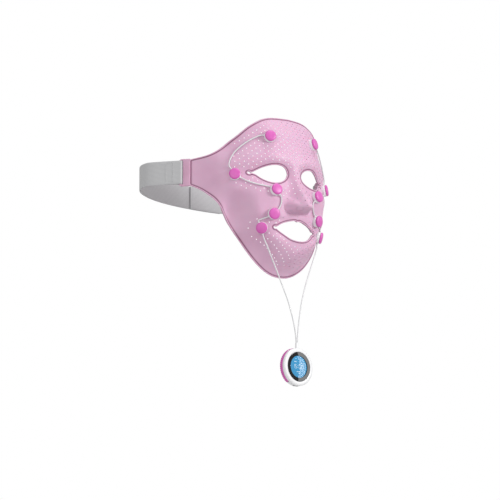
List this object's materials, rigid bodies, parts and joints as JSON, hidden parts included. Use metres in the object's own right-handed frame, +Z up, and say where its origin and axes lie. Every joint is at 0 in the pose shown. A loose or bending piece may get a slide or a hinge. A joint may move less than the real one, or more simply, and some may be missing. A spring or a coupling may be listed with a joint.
{
  "type": "face massager mask",
  "caption": "Full-face silicone massage mask with open eyes and mouth, domed vibration heads, elastic head strap and a round controller hanging on two thin leads.",
  "frame": {"origin": "midway between the two temple heads, where the wearer's head holds the mask", "axes": "+X towards the wearer's left, -Y out of the face, +Z up"},
  "size_m": [0.2872, 0.235, 0.3532],
  "materials": {
    "pink_silicone": "matt moulded silicone",
    "white_plastic": "satin white",
    "magenta_cap": "soft-touch magenta",
    "motor_steel": "pressed steel can",
    "rotor_weight": "sintered weight",
    "wire_sleeve": "smooth white sleeve",
    "strap_webbing": "knitted elastic, light grey",
    "hook_tape": "hook-and-loop tape",
    "black_glass": "polished black window",
    "blue_display": "lit blue display",
    "circuit_board": "green solder mask",
    "battery_wrap": "grey wrap",
    "port_metal": "dark plated metal",
    "white_rubber": "matt white"
  },
  "bodies": {
    "mask": {"mask_shell": "pink_silicone", "forehead_right_base": "white_plastic", "forehead_right_cap": "magenta_cap", "forehead_right_motor": "motor_steel", "temple_right_base": "white_plastic", "temple_right_cap": "magenta_cap", "temple_right_motor": "motor_steel", "cheek_right_base": "white_plastic", "cheek_right_cap": "magenta_cap", "cheek_right_motor": "motor_steel", "nose_fold_right_base": "white_plastic", "nose_fold_right_cap": "magenta_cap", "nose_fold_right_motor": "motor_steel", "mouth_right_base": "white_plastic", "mouth_right_cap": "magenta_cap", "mouth_right_motor": "motor_steel", "harness_right": "wire_sleeve", "strap_anchor_right": "pink_silicone", "strap_right": "strap_webbing", "forehead_left_base": "white_plastic", "forehead_left_cap": "magenta_cap", "forehead_left_motor": "motor_steel", "temple_left_base": "white_plastic", "temple_left_cap": "magenta_cap", "temple_left_motor": "motor_steel", "cheek_left_base": "white_plastic", "cheek_left_cap": "magenta_cap", "cheek_left_motor": "motor_steel", "nose_fold_left_base": "white_plastic", "nose_fold_left_cap": "magenta_cap", "nose_fold_left_motor": "motor_steel", "mouth_left_base": "white_plastic", "mouth_left_cap": "magenta_cap", "mouth_left_motor": "motor_steel", "harness_left": "wire_sleeve", "strap_anchor_left": "pink_silicone", "strap_left": "strap_webbing", "strap_hook_patch": "hook_tape", "strap_loop_patch": "hook_tape"},
    "forehead_right_rotor": {"forehead_right_rotor": "rotor_weight"},
    "temple_right_rotor": {"temple_right_rotor": "rotor_weight"},
    "cheek_right_rotor": {"cheek_right_rotor": "rotor_weight"},
    "nose_fold_right_rotor": {"nose_fold_right_rotor": "rotor_weight"},
    "mouth_right_rotor": {"mouth_right_rotor": "rotor_weight"},
    "forehead_left_rotor": {"forehead_left_rotor": "rotor_weight"},
    "temple_left_rotor": {"temple_left_rotor": "rotor_weight"},
    "cheek_left_rotor": {"cheek_left_rotor": "rotor_weight"},
    "nose_fold_left_rotor": {"nose_fold_left_rotor": "rotor_weight"},
    "mouth_left_rotor": {"mouth_left_rotor": "rotor_weight"},
    "controller": {"lead_right": "wire_sleeve", "lead_left": "wire_sleeve", "controller_front_shell": "white_plastic", "controller_back_shell": "white_plastic", "controller_glass": "black_glass", "controller_display": "blue_display", "controller_board": "circuit_board", "controller_battery": "battery_wrap", "controller_charge_port": "port_metal", "strain_relief": "white_rubber"},
    "side_key": {"controller_side_key": "magenta_cap"}
  },
  "joints": [
    {"name": "controller_swing", "type": "hinge", "parent": "mask", "child": "controller", "pos_m": [0, -0.0173, -0.077], "axis": [1, 0, 0], "range_deg": [-70, 0]},
    {"name": "side_key_press", "type": "slide", "parent": "controller", "child": "side_key", "axis": [1, 0, 0], "range_m": [0, 0.0007], "stiffness_N_per_m": 1500, "springref_m": -0.0005},
    {"name": "forehead_right_rotor_spin", "type": "hinge", "parent": "mask", "child": "forehead_right_rotor", "pos_m": [-0.03801, -0.02247, 0.0529], "axis": [-0.423, -0.8815, 0.2098], "continuous": true},
    {"name": "temple_right_rotor_spin", "type": "hinge", "parent": "mask", "child": "temple_right_rotor", "pos_m": [-0.07873, 0.00072, 0.0006], "axis": [-0.6913, -0.7049, 0.159], "continuous": true},
    {"name": "cheek_right_rotor_spin", "type": "hinge", "parent": "mask", "child": "cheek_right_rotor", "pos_m": [-0.03606, -0.0325, -0.01894], "axis": [-0.2014, -0.9641, 0.173], "continuous": true},
    {"name": "nose_fold_right_rotor_spin", "type": "hinge", "parent": "mask", "child": "nose_fold_right_rotor", "pos_m": [-0.0382, -0.03014, -0.05094], "axis": [-0.3153, -0.9446, -0.0907], "continuous": true},
    {"name": "mouth_right_rotor_spin", "type": "hinge", "parent": "mask", "child": "mouth_right_rotor", "pos_m": [-0.05034, -0.01958, -0.06969], "axis": [-0.72, -0.6528, -0.2354], "continuous": true},
    {"name": "forehead_left_rotor_spin", "type": "hinge", "parent": "mask", "child": "forehead_left_rotor", "pos_m": [0.03801, -0.02247, 0.0529], "axis": [0.423, -0.8815, 0.2098], "continuous": true},
    {"name": "temple_left_rotor_spin", "type": "hinge", "parent": "mask", "child": "temple_left_rotor", "pos_m": [0.07873, 0.00072, 0.0006], "axis": [0.6913, -0.7049, 0.159], "continuous": true},
    {"name": "cheek_left_rotor_spin", "type": "hinge", "parent": "mask", "child": "cheek_left_rotor", "pos_m": [0.03606, -0.0325, -0.01894], "axis": [0.2014, -0.9641, 0.173], "continuous": true},
    {"name": "nose_fold_left_rotor_spin", "type": "hinge", "parent": "mask", "child": "nose_fold_left_rotor", "pos_m": [0.0382, -0.03014, -0.05094], "axis": [0.3153, -0.9446, -0.0907], "continuous": true},
    {"name": "mouth_left_rotor_spin", "type": "hinge", "parent": "mask", "child": "mouth_left_rotor", "pos_m": [0.05034, -0.01958, -0.06969], "axis": [0.72, -0.6528, -0.2354], "continuous": true}
  ]
}
